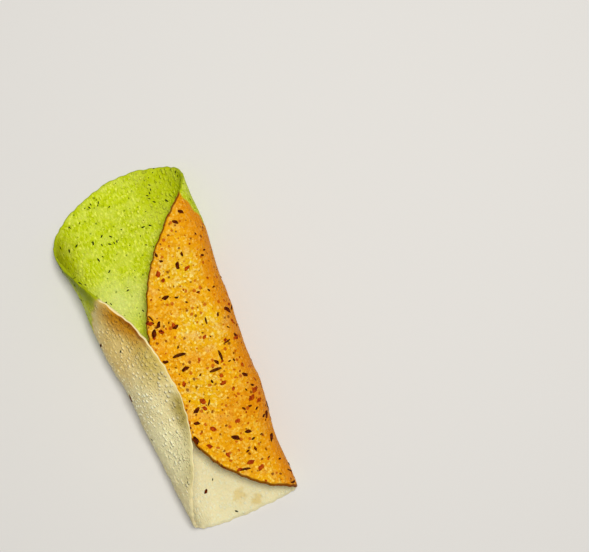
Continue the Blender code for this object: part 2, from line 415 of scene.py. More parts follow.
# %% [markdown]
# Node trees, for shapes and for colours alike, are chains of small steps. These helpers make
# one step each: they add a node, and link its inputs or set them to plain values.

# %% helpers for node trees


def feed(tree, socket, value):
    """Link a socket to another socket, or give it a plain value."""
    if isinstance(value, bpy.types.NodeSocket):
        tree.links.new(value, socket)
    else:
        socket.default_value = value


def add(tree, kind, inputs=(), **settings):
    """Add a node, set its options and feed its inputs by name or by place."""
    node = tree.nodes.new(kind)
    for name, value in settings.items():
        setattr(node, name, value)
    for name, value in dict(inputs).items():
        feed(tree, node.inputs[name], value)
    return node


def calc(tree, operation, *values, clamp=False):
    node = add(tree, "ShaderNodeMath", enumerate(values), operation=operation, use_clamp=clamp)
    return node.outputs[0]


def calc_vector(tree, operation, *values):
    """A vector step. DOT_PRODUCT and LENGTH put out a number."""
    node = tree.nodes.new("ShaderNodeVectorMath")
    node.operation = operation
    for place, value in enumerate(values):
        scale = operation == "SCALE" and place == 1
        feed(tree, node.inputs["Scale"] if scale else node.inputs[place], value)
    return node.outputs["Value" if operation in ("DOT_PRODUCT", "LENGTH") else "Vector"]


def split(tree, vector):
    """The three numbers of a vector or a colour."""
    return add(tree, "ShaderNodeSeparateXYZ", {0: vector}).outputs


def ramp(tree, value, start, end, low=0.0, high=1.0):
    """A smooth step of a value from low at start to high at end."""
    inputs = {"Value": value, "From Min": start, "From Max": end, "To Min": low, "To Max": high}
    return add(tree, "ShaderNodeMapRange", inputs, interpolation_type="SMOOTHSTEP").outputs["Result"]


def kept(tree, name, kind="FLOAT"):
    """What the corners of the sheet keep under a name, for a geometry tree."""
    return add(tree, "GeometryNodeInputNamedAttribute", {"Name": name}, data_type=kind).outputs[0]


def geometry_tree(name, sockets):
    """A new geometry tree with a geometry way in and out and named inputs."""
    tree = bpy.data.node_groups.new(name, "GeometryNodeTree")
    tree.interface.new_socket("Geometry", in_out="INPUT", socket_type="NodeSocketGeometry")
    for title, kind in sockets:
        tree.interface.new_socket(title, in_out="INPUT", socket_type="NodeSocket" + kind)
    tree.interface.new_socket("Geometry", in_out="OUTPUT", socket_type="NodeSocketGeometry")
    entry = tree.nodes.new("NodeGroupInput")
    return tree, entry.outputs


def close_tree(tree, shape, material):
    """Make a geometry tree's result real mesh with its material, and put it out."""
    whole = add(tree, "GeometryNodeRealizeInstances", {"Geometry": shape}).outputs[0]
    inputs = {"Geometry": whole, "Material": material}
    coated = add(tree, "GeometryNodeSetMaterial", inputs).outputs[0]
    add(tree, "NodeGroupOutput", {"Geometry": coated})


def run_tree(source, tree, values, name):
    """Run a geometry tree on an object and keep the result as a new plain object."""
    modifier = source.modifiers.new(tree.name, "NODES")
    modifier.node_group = tree
    for item in tree.interface.items_tree:
        if item.item_type == "SOCKET" and item.in_out == "INPUT" and item.name in values:
            modifier[item.identifier] = values[item.name]
    graph = bpy.context.evaluated_depsgraph_get()
    mesh = bpy.data.meshes.new_from_object(source.evaluated_get(graph), depsgraph=graph)
    source.modifiers.remove(modifier)
    mesh.name = name
    return new_object(name, mesh)


print("tree helpers ready")

# %% [markdown]
# Now the disc is rolled up. For each corner the tree finds how far across the sheet it lies,
# samples the ruling path there, and gets three directions: along the ruling, across it, and
# inwards. The corner moves out along its ruling, then inwards by the thickness and the
# relief. The strip that the roll rests on stays flat below. Fine bubbles come from a cell
# pattern, because hot oil raises them side by side at nearly one size.

# %% the tree that rolls the sheet
BUBBLE_SIZE = 2.6
BUBBLE_HEIGHT = 0.00036
BUBBLE_REACH = 0.44
BUBBLE_STRETCH = (1.0, 0.82, 0.0)
BUBBLE_TOP = 0.05
BUBBLE_LUCK = (0.05, 0.80, 0.10, 1.0)
PATCH_SCALE = 0.075
PATCH_CALM = (0.38, 0.62, 0.45, 1.0)
CALM_RIM = (0.3, 1.6)
BLISTER_SHARE = 0.50
WAVE_HEIGHT = 0.0010
WAVE_LENGTH = 0.048
WAVE_SLANTS = (0.6, -0.4)
SECOND_WAVE = (0.7, 1.9)
RELIEF_EASE = 0.010


def slow_wave(tree, x, y):
    """Slow waves of the whole sheet, the same as in the solid."""
    k = tau / WAVE_LENGTH
    first = calc(tree, "MULTIPLY", calc(tree, "MULTIPLY_ADD", x, WAVE_SLANTS[0], y), k)
    slanted = calc(tree, "MULTIPLY_ADD", x, WAVE_SLANTS[1], y)
    second = calc(tree, "MULTIPLY_ADD", slanted, SECOND_WAVE[0] * k, SECOND_WAVE[1])
    both = calc(tree, "ADD", calc(tree, "SINE", first), calc(tree, "SINE", second))
    return calc(tree, "MULTIPLY", both, 0.5 * WAVE_HEIGHT)


def fine_bubbles(tree, flat, size, reach):
    """Domes of a cell pattern on the flat sheet, 0 to 1, weaker in some patches."""
    stretched = calc_vector(tree, "MULTIPLY", flat, BUBBLE_STRETCH)
    place = calc_vector(tree, "SCALE", stretched, calc(tree, "DIVIDE", 1.0, size))
    inputs = {"Vector": place, "Scale": 1.0, "Randomness": 0.9}
    cells = add(tree, "ShaderNodeTexVoronoi", inputs, voronoi_dimensions="2D", feature="F1").outputs
    dome = ramp(tree, cells["Distance"], reach, BUBBLE_TOP)
    luck = split(tree, cells["Color"])[0]
    tall = calc(tree, "MULTIPLY", dome, ramp(tree, luck, *BUBBLE_LUCK))
    inputs = {"Vector": flat, "Scale": PATCH_SCALE, "Detail": 2.0}
    patches = add(tree, "ShaderNodeTexNoise", inputs).outputs[0]
    return calc(tree, "MULTIPLY", tall, ramp(tree, patches, *PATCH_CALM))


def make_roll_tree():
    sockets = (
        ("Ruling Path", "Object"), ("Apex Distance", "Float"), ("Thickness", "Float"),
        ("Bubble Size", "Float"), ("Bubble Height", "Float"), ("Disc Middle", "Vector"),
        ("Dough", "Material"),
    )
    tree, given = geometry_tree("roll_sheet", sockets)
    place = add(tree, "GeometryNodeInputPosition").outputs[0]
    x, y, level = split(tree, place)
    apex = given["Apex Distance"]
    from_apex = calc(tree, "ADD", apex, y)
    arc = calc(tree, "MULTIPLY", calc(tree, "ARCTAN2", x, from_apex), apex)
    squares = calc(tree, "MULTIPLY_ADD", x, x, calc(tree, "MULTIPLY", from_apex, from_apex))
    reach = calc(tree, "SQRT", squares)

    inputs = {"Object": given["Ruling Path"]}
    path = add(tree, "GeometryNodeObjectInfo", inputs, transform_space="ORIGINAL")
    walked = calc(tree, "DIVIDE", calc(tree, "ADD", arc, HALF_REACH), apex)
    inputs = {"Curves": path.outputs["Geometry"], "Length": walked}
    sample = add(tree, "GeometryNodeSampleCurve", inputs, mode="LENGTH").outputs
    ruling = calc_vector(tree, "NORMALIZE", sample["Position"])
    inward = calc_vector(tree, "CROSS_PRODUCT", sample["Tangent"], ruling)
    inward = calc_vector(tree, "NORMALIZE", inward)

    left = ramp(tree, arc, -STRIP_LEFT - RELIEF_EASE, -STRIP_LEFT)
    right = ramp(tree, arc, STRIP_RIGHT, STRIP_RIGHT + RELIEF_EASE, 1.0, 0.0)
    free = calc(tree, "SUBTRACT", 1.0, calc(tree, "MULTIPLY", left, right))
    flat = calc_vector(tree, "SCALE", place, MILLIMETRES)
    calm = ramp(tree, kept(tree, "rim_depth"), *CALM_RIM)
    puffiness = calc(tree, "MULTIPLY", kept(tree, "puffiness"), calm)
    bubble = fine_bubbles(tree, flat, given["Bubble Size"], BUBBLE_REACH)
    bubble = calc(tree, "MULTIPLY", bubble, puffiness)
    fine = calc(tree, "MULTIPLY", bubble, given["Bubble Height"])
    out_lift = calc(tree, "MULTIPLY_ADD", kept(tree, "outside_puff"), BLISTER_SHARE, fine)
    out_lift = calc(tree, "MULTIPLY", out_lift, free)
    in_lift = calc(tree, "MULTIPLY_ADD", kept(tree, "inside_puff"), BLISTER_SHARE, fine)
    outer = calc(tree, "MULTIPLY", out_lift, calc(tree, "SUBTRACT", level, 1.0))
    inner = calc(tree, "MULTIPLY", calc(tree, "ADD", in_lift, given["Thickness"]), level)
    wave = calc(tree, "MULTIPLY", slow_wave(tree, x, y), free)
    height = calc(tree, "ADD", calc(tree, "ADD", outer, inner), wave)

    along = calc_vector(tree, "SCALE", ruling, reach)
    rolled = calc_vector(tree, "ADD", along, calc_vector(tree, "SCALE", inward, height))
    apex_shift = add(tree, "ShaderNodeCombineXYZ", {1: calc(tree, "MULTIPLY", apex, -1.0)}).outputs[0]
    rolled = calc_vector(tree, "ADD", calc_vector(tree, "ADD", rolled, apex_shift), given["Disc Middle"])

    shape = given["Geometry"]
    values = (("flat", "FLOAT_VECTOR", flat), ("level", "FLOAT", level), ("free", "FLOAT", free))
    for title, kind, value in values:
        inputs = {"Geometry": shape, "Name": title, "Value": value}
        settings = {"data_type": kind, "domain": "POINT"}
        shape = add(tree, "GeometryNodeStoreNamedAttribute", inputs, **settings).outputs[0]
    moved = add(tree, "GeometryNodeSetPosition", {"Geometry": shape, "Position": rolled}).outputs[0]
    inputs = {"Geometry": moved, "Shade Smooth": True}
    close_tree(tree, add(tree, "GeometryNodeSetShadeSmooth", inputs).outputs[0], given["Dough"])
    return tree


roll_tree = make_roll_tree()
print("roll tree:", len(roll_tree.nodes), "nodes")

# %% [markdown]
# The finish of the dough: three colours that fade into each other, each mottled. It is built
# as small shader groups, so that each effect can be read and tuned by itself. All of them
# read the flat place that each point had on the disc, so no pattern is stretched by rolling.

# %% helpers for shader groups


def shader_group(name, ways_in, ways_out):
    """A new shader group with named sockets: (title, kind) pairs."""
    tree = bpy.data.node_groups.new(name, "ShaderNodeTree")
    for title, kind in ways_in:
        tree.interface.new_socket(title, in_out="INPUT", socket_type="NodeSocket" + kind)
    for title, kind in ways_out:
        tree.interface.new_socket(title, in_out="OUTPUT", socket_type="NodeSocket" + kind)
    entry = tree.nodes.new("NodeGroupInput")
    return tree, entry.outputs, tree.nodes.new("NodeGroupOutput").inputs


def use_group(tree, group, inputs=()):
    node = tree.nodes.new("ShaderNodeGroup")
    node.node_tree = group
    for name, value in dict(inputs).items():
        feed(tree, node.inputs[name], value)
    return node.outputs


def stored(tree, name, output="Fac"):
    """What the corners of the sheet keep under a name, for a material."""
    return add(tree, "ShaderNodeAttribute", attribute_name=name).outputs[output]


def blend_colors(tree, share, first, second, mode="MIX"):
    """Mix two colours by a share, each a socket or an RGB triple."""
    node = tree.nodes.new("ShaderNodeMix")
    node.data_type = "RGBA"
    node.blend_type = mode
    for place, value in ((0, share), (6, first), (7, second)):
        if isinstance(value, tuple):
            value = (*value, 1.0)
        feed(tree, node.inputs[place], value)
    return node.outputs[2]


def tint(tree, color, mask, strength, tone):
    """Lay a tone over a colour where a mask says so, with at most that strength."""
    return blend_colors(tree, calc(tree, "MULTIPLY", mask, strength), color, tone)


def noise(tree, place, size, detail=2.0, shift=(0.0, 0.0, 0.0)):
    """Soft noise with features of about that size, in the units of the place."""
    moved = calc_vector(tree, "ADD", place, shift)
    inputs = {"Vector": moved, "Scale": 1.0 / size, "Detail": detail}
    return add(tree, "ShaderNodeTexNoise", inputs).outputs[0]


def wander(tree, place, scale, detail):
    """Soft noise with a value of its own in each direction, 0 to 1."""
    inputs = {"Vector": place, "Scale": scale, "Detail": detail}
    return add(tree, "ShaderNodeTexNoise", inputs).outputs["Color"]


def mottle(tree, color, place, patches):
    """Lay soft patches over a colour, one kind after the other."""
    for stretch, size, detail, shift, start, end, strength, tone in patches:
        stretched = calc_vector(tree, "MULTIPLY", place, (1.0, stretch, 1.0))
        mask = ramp(tree, noise(tree, stretched, size, detail, shift), start, end)
        color = tint(tree, color, mask, strength, tone)
    return color


DOT_WOBBLE = (2.2, 0.35)
DOT_SIZES = (0.7, 0.3)
DOT_EDGE = 0.05


def dots(tree, place, spacing, radius, chance, shift):
    """Small round dots in a share of the cells of a pattern, 0 to 1."""
    moved = calc_vector(tree, "ADD", place, shift)
    wobble = wander(tree, moved, DOT_WOBBLE[0] / spacing, 2.0)
    wobble = calc_vector(tree, "SCALE", wobble, DOT_WOBBLE[1] * spacing)
    moved = calc_vector(tree, "ADD", moved, wobble)
    inputs = {"Vector": moved, "Scale": 1.0 / spacing, "Randomness": 1.0}
    cells = add(tree, "ShaderNodeTexVoronoi", inputs, voronoi_dimensions="2D", feature="F1").outputs
    size, luck, _ = split(tree, cells["Color"])
    edge = calc(tree, "MULTIPLY", calc(tree, "MULTIPLY_ADD", size, *DOT_SIZES), radius / spacing)
    spot = ramp(tree, calc(tree, "SUBTRACT", cells["Distance"], edge), DOT_EDGE, -DOT_EDGE)
    return calc(tree, "MULTIPLY", spot, calc(tree, "LESS_THAN", luck, chance))


def speckle(tree, color, place, kinds):
    """Lay small dots over a colour, one kind after the other."""
    for spacing, radius, chance, shift, strength, tone in kinds:
        mask = dots(tree, place, spacing, radius, chance, shift)
        color = tint(tree, color, mask, strength, tone)
    return color


def lit_tops_shaded_valleys(tree, color, bubble, highlight_tone, shade_tone):
    """Painted highlight on the bubbles' tops and painted shade in the valleys between them, with some of the
    fry's pale and deep colour.
    """
    color = tint(tree, color, ramp(tree, bubble, 0.20, 0.0), 0.5, shade_tone)
    return tint(tree, color, ramp(tree, bubble, 0.25, 0.65), 0.85, highlight_tone)


print("shader helpers ready")

# %% [markdown]
# Each dough has its own colour and its own way of being uneven. The orange one is speckled
# with chilli, so it has small red and brown dots under the surface. Along the fold at the
# right, where the sheet turns away from the light, it is painted darker and redder: painted
# shade, with some of the dough's own deeper orange.

# %% orange dough
PLACE = (("Place", "Vector"), ("Bubble", "Float"), ("Outside", "Float"))
COLOR = (("Color", "Color"),)
ORANGE_TONES = ((0.84, 0.38, 0.001), (0.90, 0.48, 0.003))
ORANGE_PATCHES = (
    # stretch, size in mm, detail, shift, from, to, strength, colour
    (1.0, 8.0, 4.0, (31.0, 7.0, 3.0), 0.54, 0.72, 0.60, (0.90, 0.55, 0.14)),
    (1.0, 1.4, 1.0, (5.0, 71.0, 9.0), 0.48, 0.66, 0.65, (0.58, 0.20, 0.001)),
    (1.0, 1.5, 1.0, (83.0, 17.0, 2.0), 0.50, 0.66, 0.75, (0.99, 0.70, 0.12)),
)
# painted highlight on the bubbles' tops, painted shade in the valleys
ORANGE_TOP_HIGHLIGHT, ORANGE_VALLEY_SHADE = (0.99, 0.70, 0.12), (0.70, 0.29, 0.001)
ORANGE_DOTS = (
    # spacing and radius in mm, share of the cells, shift, strength, colour
    (4.0, 0.95, 0.40, (11.0, 3.0, 0.0), 0.85, (0.48, 0.085, 0.001)),
    (4.4, 0.80, 0.40, (47.0, 19.0, 0.0), 0.85, (0.20, 0.040, 0.0005)),
)
FOLD_ARC = MILLIMETRES * (STRIP_RIGHT + RIGHT_BEND_RADIUS * 0.6 * pi)
FOLD_REACH = 15.0
FOLD_SHADE_STRENGTH = 0.68
FOLD_SHADE_TONE = (0.74, 0.21, 0.0005)


def fold_shade_mask(tree, place):
    """Where the right fold's painted shade goes: 1 along the fold, whose arc across the sheet is known,
    fading on both sides.
    """
    x, y, _ = split(tree, place)
    apex = MILLIMETRES * APEX_DISTANCE
    arc = calc(tree, "MULTIPLY", calc(tree, "ARCTAN2", x, calc(tree, "ADD", y, apex)), apex)
    away = calc(tree, "ABSOLUTE", calc(tree, "SUBTRACT", arc, FOLD_ARC))
    return ramp(tree, away, FOLD_REACH, 0.2 * FOLD_REACH)


def make_orange():
    tree, given, out = shader_group("orange_dough", PLACE, COLOR)
    place = given["Place"]
    broad = ramp(tree, noise(tree, place, 14.0, 3.0), 0.38, 0.64)
    color = blend_colors(tree, broad, *ORANGE_TONES)
    color = mottle(tree, color, place, ORANGE_PATCHES)
    color = lit_tops_shaded_valleys(tree, color, given["Bubble"], ORANGE_TOP_HIGHLIGHT, ORANGE_VALLEY_SHADE)
    # painted shade on the outer skin along the fold, which turns away from the light
    fold = calc(tree, "MULTIPLY", fold_shade_mask(tree, place), given["Outside"])
    color = tint(tree, color, fold, FOLD_SHADE_STRENGTH, FOLD_SHADE_TONE)
    feed(tree, out["Color"], speckle(tree, color, place, ORANGE_DOTS))
    return tree


orange_dough = make_orange()
print("orange dough:", len(orange_dough.nodes), "nodes")

# %% [markdown]
# The green dough has short deep and pale streaks along the roll, so their noise is stretched
# that way. It is paler in one broad place about halfway between the middle and the rim.

# %% green dough
GREEN_TONES = ((0.54, 0.65, 0.003), (0.63, 0.75, 0.010))
GREEN_PATCHES = (
    # stretch, size in mm, detail, shift, from, to, strength, colour
    (0.5, 1.1, 3.0, (21.0, 5.0, 0.0), 0.47, 0.61, 0.80, (0.35, 0.44, 0.001)),
    (1.0, 8.0, 5.0, (41.0, 3.0, 0.0), 0.44, 0.62, 0.50, (0.80, 0.86, 0.17)),
    (0.5, 1.2, 3.0, (9.0, 2.0, 0.0), 0.50, 0.61, 0.80, (0.86, 0.93, 0.12)),
)
# painted highlight on the bubbles' tops, painted shade in the valleys
GREEN_TOP_HIGHLIGHT, GREEN_VALLEY_SHADE = (0.90, 0.95, 0.12), (0.47, 0.57, 0.001)
GREEN_DOTS = ((4.2, 0.55, 0.36, (5.0, 37.0, 0.0), 0.75, (0.14, 0.20, 0.001)),)
PALE_MIDDLE = (-25.0, 36.0, 0.0)
PALE_REACH = (33.0, 12.0)
PALE_RAGGED = 20.0
PALE_STRENGTH = 0.48
PALE_TONE = (0.74, 0.82, 0.32)


def make_green():
    tree, given, out = shader_group("green_dough", PLACE, COLOR)
    place = given["Place"]
    broad = ramp(tree, noise(tree, place, 16.0, 3.0, (3.0, 13.0, 0.0)), 0.36, 0.64)
    color = blend_colors(tree, broad, *GREEN_TONES)
    color = mottle(tree, color, place, GREEN_PATCHES)
    color = lit_tops_shaded_valleys(tree, color, given["Bubble"], GREEN_TOP_HIGHLIGHT, GREEN_VALLEY_SHADE)
    ragged = calc(tree, "MULTIPLY", noise(tree, place, 9.0, 4.0, (2.0, 2.0, 6.0)), PALE_RAGGED)
    off_middle = calc_vector(tree, "LENGTH", calc_vector(tree, "SUBTRACT", place, PALE_MIDDLE))
    fade = ramp(tree, calc(tree, "ADD", off_middle, ragged), *PALE_REACH)
    color = tint(tree, color, fade, PALE_STRENGTH, PALE_TONE)
    feed(tree, out["Color"], speckle(tree, color, place, GREEN_DOTS))
    return tree


green_dough = make_green()
print("green dough:", len(green_dough.nodes), "nodes")

# %% [markdown]
# The cream dough is nearly plain. Its outer skin is painted lighter and warmer than the inner
# one: painted light on the curled flap, whose outer face is turned from the lamp. Faint tan
# patches lie mostly on the outside.

# %% cream dough
# the outer skin is painted lighter than the inner one, as painted light
CREAM_OUTER_LIT = ((0.91, 0.79, 0.39), (1.0, 0.92, 0.53))
CREAM_INNER = ((0.76, 0.75, 0.51), (0.81, 0.81, 0.57))
CREAM_PATCHES = ((1.0, 1.2, 3.0, (61.0, 3.0, 0.0), 0.47, 0.62, 0.25, (0.66, 0.57, 0.30)),)
# painted highlight on the bubbles' tops, painted shade in the valleys
CREAM_TOP_HIGHLIGHT, CREAM_VALLEY_SHADE = (1.0, 0.98, 0.74), (0.78, 0.67, 0.34)
TAN_INSIDE = 0.2
TAN_TONE = (0.58, 0.44, 0.12)


def make_cream():
    tree, given, out = shader_group("cream_dough", PLACE, COLOR)
    place = given["Place"]
    broad = ramp(tree, noise(tree, place, 13.0, 3.0, (17.0, 3.0, 0.0)), 0.36, 0.66)
    outer = blend_colors(tree, broad, *CREAM_OUTER_LIT)
    color = blend_colors(tree, given["Outside"], blend_colors(tree, broad, *CREAM_INNER), outer)
    tan = ramp(tree, noise(tree, place, 4.5, 4.0, (7.0, 23.0, 0.0)), 0.50, 0.70)
    mostly_outside = calc(tree, "MULTIPLY_ADD", given["Outside"], 1.0 - TAN_INSIDE, TAN_INSIDE)
    color = tint(tree, color, calc(tree, "MULTIPLY", tan, mostly_outside), 0.35, TAN_TONE)
    color = mottle(tree, color, place, CREAM_PATCHES)
    color = lit_tops_shaded_valleys(tree, color, given["Bubble"], CREAM_TOP_HIGHLIGHT, CREAM_VALLEY_SHADE)
    feed(tree, out["Color"], color)
    return tree


cream_dough = make_cream()
print("cream dough:", len(cream_dough.nodes), "nodes")

# %% [markdown]
# The bubbles in the mesh are about two and a half millimetres wide. Finer ones, and the dry
# grain of the dough, are too small to be worth triangles, so a bump texture adds them.

# %% fine surface of the dough
GRAIN_STRETCH = (1.0, 0.8, 1.0)
COARSE_GRAIN = (1.0, 0.42)
FINE_GRAIN = (0.35, 0.06)
CRISP_REACH = 0.42
SMALL_BUBBLE_SIZE = 1.25
SMALL_BUBBLE_SHARE = 0.60
SMALL_BUBBLE_SHIFT = (7.0, 3.0, 0.0)


def make_crisp_surface():
    """Height of the dry grain, in millimetres."""
    tree, given, out = shader_group("crisp_surface", (("Place", "Vector"),), (("Height", "Float"),))
    place = calc_vector(tree, "MULTIPLY", given["Place"], GRAIN_STRETCH)
    height = calc(tree, "MULTIPLY", noise(tree, place, COARSE_GRAIN[0], 3.0), COARSE_GRAIN[1])
    fine = noise(tree, place, FINE_GRAIN[0], 2.0)
    feed(tree, out["Height"], calc(tree, "MULTIPLY_ADD", fine, FINE_GRAIN[1], height))
    return tree


def make_bubble_pattern():
    """The mesh's own bubbles and smaller ones between them, which colour and bump follow."""
    tree, given, out = shader_group("bubble_pattern", (("Place", "Vector"),), (("Bubble", "Float"),))
    large = fine_bubbles(tree, given["Place"], BUBBLE_SIZE, CRISP_REACH)
    elsewhere = calc_vector(tree, "ADD", given["Place"], SMALL_BUBBLE_SHIFT)
    small = fine_bubbles(tree, elsewhere, SMALL_BUBBLE_SIZE, BUBBLE_REACH)
    both = calc(tree, "MULTIPLY_ADD", small, SMALL_BUBBLE_SHARE, large, clamp=True)
    feed(tree, out["Bubble"], both)
    return tree


crisp_surface = make_crisp_surface()
bubble_pattern = make_bubble_pattern()
print("crisp surface:", len(crisp_surface.nodes), "nodes, bubbles:", len(bubble_pattern.nodes), "nodes")

# %% [markdown]
# The material puts the doughs together. The bands along the rim are laid over them, and then
# a few named spots on the flat disc: a warm one behind the curled flap's rim, a pale one
# further down the curled flap, which is painted light where the flap faces away from the lamp,
# three peach ones and a deep one on the orange flap, and two small toasted ones inside on the
# cream dough. Some of them multiply the colour below instead of covering it, so that its
# mottling stays.

# %% the bands and spots of the dough
SPOTS = (
    # middle on the flat disc in mm, radius in mm, strength, way of mixing, colour
    ((-72.0, 12.0), 24.0, 0.50, "MULTIPLY", (1.0, 0.70, 0.14)),
    # painted light on the lower part of the curled flap
    ((-69.0, -46.0), 25.0, 0.60, "MIX", (1.0, 0.95, 0.56)),
    ((68.0, 37.0), 17.0, 1.00, "MULTIPLY", (1.0, 1.22, 2.2)),
    ((64.0, 7.0), 18.0, 1.00, "MULTIPLY", (1.0, 1.22, 2.4)),
    ((72.0, -25.0), 15.0, 1.00, "MULTIPLY", (1.0, 1.20, 2.2)),
    ((54.0, -40.0), 16.0, 1.00, "MULTIPLY", (0.94, 0.82, 0.4)),
    ((-5.0, -80.0), 5.0, 0.45, "MIX", (0.66, 0.46, 0.08)),
    ((3.0, -86.0), 4.0, 0.50, "MIX", (0.64, 0.44, 0.08)),
)
SPOT_CORE = 0.3
SPOT_WANDER = 9.0
BAND_TONES = (
    # band, 1 on the outer skin or 0 on the inner one, strength, colour
    # painted shade near the curled flap's rim, upper and lower stretch
    ("khaki_shade_band", 1, 0.85, (0.54, 0.39, 0.055)),
    ("tan_shade_band", 1, 0.95, (0.36, 0.275, 0.050)),
    ("brown_band", 1, 1.0, (0.54, 0.235, 0.003)),
    # partly scorch, partly painted shadow under the curled flap's rim
    ("scorch_and_shadow_band", 1, 0.95, (0.22, 0.055, 0.001)),
    # painted shade on the green's outer skin
    ("olive_shade_band", 1, 0.95, (0.20, 0.25, 0.001)),
    # painted shade in the roll's throat
    ("deep_shade_band", 0, 0.72, (0.47, 0.55, 0.001)),
    # painted shade on the steep inner left wall
    ("left_wall_shade_band", 0, 0.90, (0.33, 0.36, 0.001)),
)


def toast_and_painted_light(tree, color, place, outside):
    """Lay the bands along the rim and a few named spots over the doughs: toasting, painted shade and painted
    light.
    """
    patchy = ramp(tree, noise(tree, place, 3.0, 4.0, (4.0, 4.0, 0.0)), 0.30, 0.62, 0.85, 1.0)
    skins = (calc(tree, "SUBTRACT", 1.0, outside), outside)
    for band, skin, strength, tone in BAND_TONES:
        share = calc(tree, "MULTIPLY", stored(tree, band), patchy)
        color = tint(tree, color, calc(tree, "MULTIPLY", share, skins[skin]), strength, tone)
    shift = calc_vector(tree, "SUBTRACT", wander(tree, place, 0.25, 3.0), (0.5, 0.5, 0.5))
    ragged = calc_vector(tree, "ADD", place, calc_vector(tree, "SCALE", shift, SPOT_WANDER))
    ragged = calc_vector(tree, "MULTIPLY", ragged, (1.0, 1.0, 0.0))
    for middle, radius, strength, mode, tone in SPOTS:
        away = calc_vector(tree, "LENGTH", calc_vector(tree, "SUBTRACT", ragged, (*middle, 0.0)))
        share = calc(tree, "MULTIPLY", ramp(tree, away, radius, SPOT_CORE * radius), strength)
        color = blend_colors(tree, share, color, tone, mode)
    return color


print("bands:", len(BAND_TONES), "spots:", len(SPOTS))

# %% [markdown]
# Fried dough is dry, so it hardly shines. A little light goes through its thin skin, and the
# bump of grain and bubbles fades out at the rim, which is too thin to bubble.

# %% the dough's material
# dark brown on the orange: toasted edge and painted shadow; olive on the green; pale on the cream
RIM_AND_SHADOW_TONES = ((0.13, 0.022, 0.0005), (0.36, 0.43, 0.002), (0.94, 0.82, 0.44))
RIM_STRENGTH = 0.85
BORDER_RAGGED = 0.3
GLOSS = (0.35, 0.65, 0.38, 0.56)
BUMP_SHARE = 0.80
LOW_SHINE = 0.05


def new_material(name, roughness):
    material = bpy.data.materials.new(name)
    material.use_nodes = True
    shader = material.node_tree.nodes["Principled BSDF"]
    shader.inputs["Roughness"].default_value = roughness
    return material, material.node_tree, shader


def make_dough_material():
    material, tree, shader = new_material("fried_dough", 0.5)
    flat = stored(tree, "flat", "Vector")
    place = calc_vector(tree, "MULTIPLY", flat, (1.0, 1.0, 0.0))
    outside = ramp(tree, stored(tree, "level"), 0.9, 0.1)
    depth = stored(tree, "rim_depth")
    calm = ramp(tree, depth, *CALM_RIM)
    bubble = use_group(tree, bubble_pattern, {"Place": flat})["Bubble"]
    bubble = calc(tree, "MULTIPLY", bubble, stored(tree, "puffiness"))
    bubble = calc(tree, "MULTIPLY", bubble, calm)
    green, cream, _ = split(tree, stored(tree, "dough", "Vector"))
    ragged = noise(tree, place, 2.5, 3.0, (2.0, 9.0, 4.0))
    ragged = calc(tree, "MULTIPLY_ADD", ragged, BORDER_RAGGED, -BORDER_RAGGED / 2)
    green = ramp(tree, calc(tree, "ADD", green, ragged), 0.2, 0.8)
    cream = ramp(tree, calc(tree, "ADD", cream, ragged), 0.1, 0.9)

    inputs = {"Place": place, "Bubble": bubble, "Outside": outside}
    color = use_group(tree, orange_dough, inputs)["Color"]
    color = blend_colors(tree, green, color, use_group(tree, green_dough, inputs)["Color"])
    color = blend_colors(tree, cream, color, use_group(tree, cream_dough, inputs)["Color"])
    color = toast_and_painted_light(tree, color, place, outside)
    width = stored(tree, "rim_line_width")
    depth = calc(tree, "MULTIPLY_ADD", ragged, 0.5, depth)
    rim_line = ramp(tree, depth, width, calc(tree, "MULTIPLY", width, 0.5))
    rim_color = blend_colors(tree, cream, blend_colors(tree, green, *RIM_AND_SHADOW_TONES[:2]), RIM_AND_SHADOW_TONES[2])
    color = tint(tree, color, rim_line, RIM_STRENGTH, rim_color)
    feed(tree, shader.inputs["Base Color"], color)

    gloss = ramp(tree, noise(tree, place, 5.0, 3.0, (8.0, 8.0, 8.0)), *GLOSS)
    feed(tree, shader.inputs["Roughness"], gloss)
    height = use_group(tree, crisp_surface, {"Place": place})["Height"]
    height = calc(tree, "MULTIPLY", calc(tree, "MULTIPLY_ADD", bubble, BUMP_SHARE, height), calm)
    bump = add(tree, "ShaderNodeBump", {"Height": height, "Strength": 1.0, "Distance": 0.001})
    feed(tree, shader.inputs["Normal"], bump.outputs["Normal"])
    shader.inputs["Subsurface Weight"].default_value = 0.05
    shader.inputs["Subsurface Radius"].default_value = (1.0, 0.55, 0.25)
    shader.inputs["Subsurface Scale"].default_value = 0.002
    shader.inputs["Specular IOR Level"].default_value = LOW_SHINE
    return material


fried_dough = make_dough_material()
print("dough material:", len(fried_dough.node_tree.nodes), "nodes")

# %% [markdown]
# With its tree and its material ready, the sheet is rolled. The result is kept as a plain
# mesh, so the tree and the helper curve can go.

# %% roll the sheet
flat_disc = new_object("flat_disc", flat_mesh)
roll_values = {
    "Ruling Path": path_object, "Apex Distance": APEX_DISTANCE, "Thickness": THICKNESS,
    "Bubble Size": BUBBLE_SIZE, "Bubble Height": BUBBLE_HEIGHT, "Disc Middle": DISC_MIDDLE,
    "Dough": fried_dough,
}
sheet = run_tree(flat_disc, roll_tree, roll_values, "papadum_sheet_rolled")
bpy.data.objects.remove(flat_disc, do_unlink=True)
bpy.data.objects.remove(path_object, do_unlink=True)
sheet_corners = np.array([corner.co[:] for corner in sheet.data.vertices])
sheet_box = [sheet_corners.min(axis=0).round(4), sheet_corners.max(axis=0).round(4)]
print("sheet:", len(sheet.data.polygons), "faces, box", *sheet_box)

# %% [markdown]
# The spices are real grains that were kneaded into the dough, so they are small meshes half
# sunk in both skins. One grain of each kind is modelled, and a node tree scatters copies
# where the dough holds them, at random sizes and turns.

# %% one grain of each kind
GRAIN_DRAW = Random(SEED + 3)
GRAIN_UNEVEN = 0.25


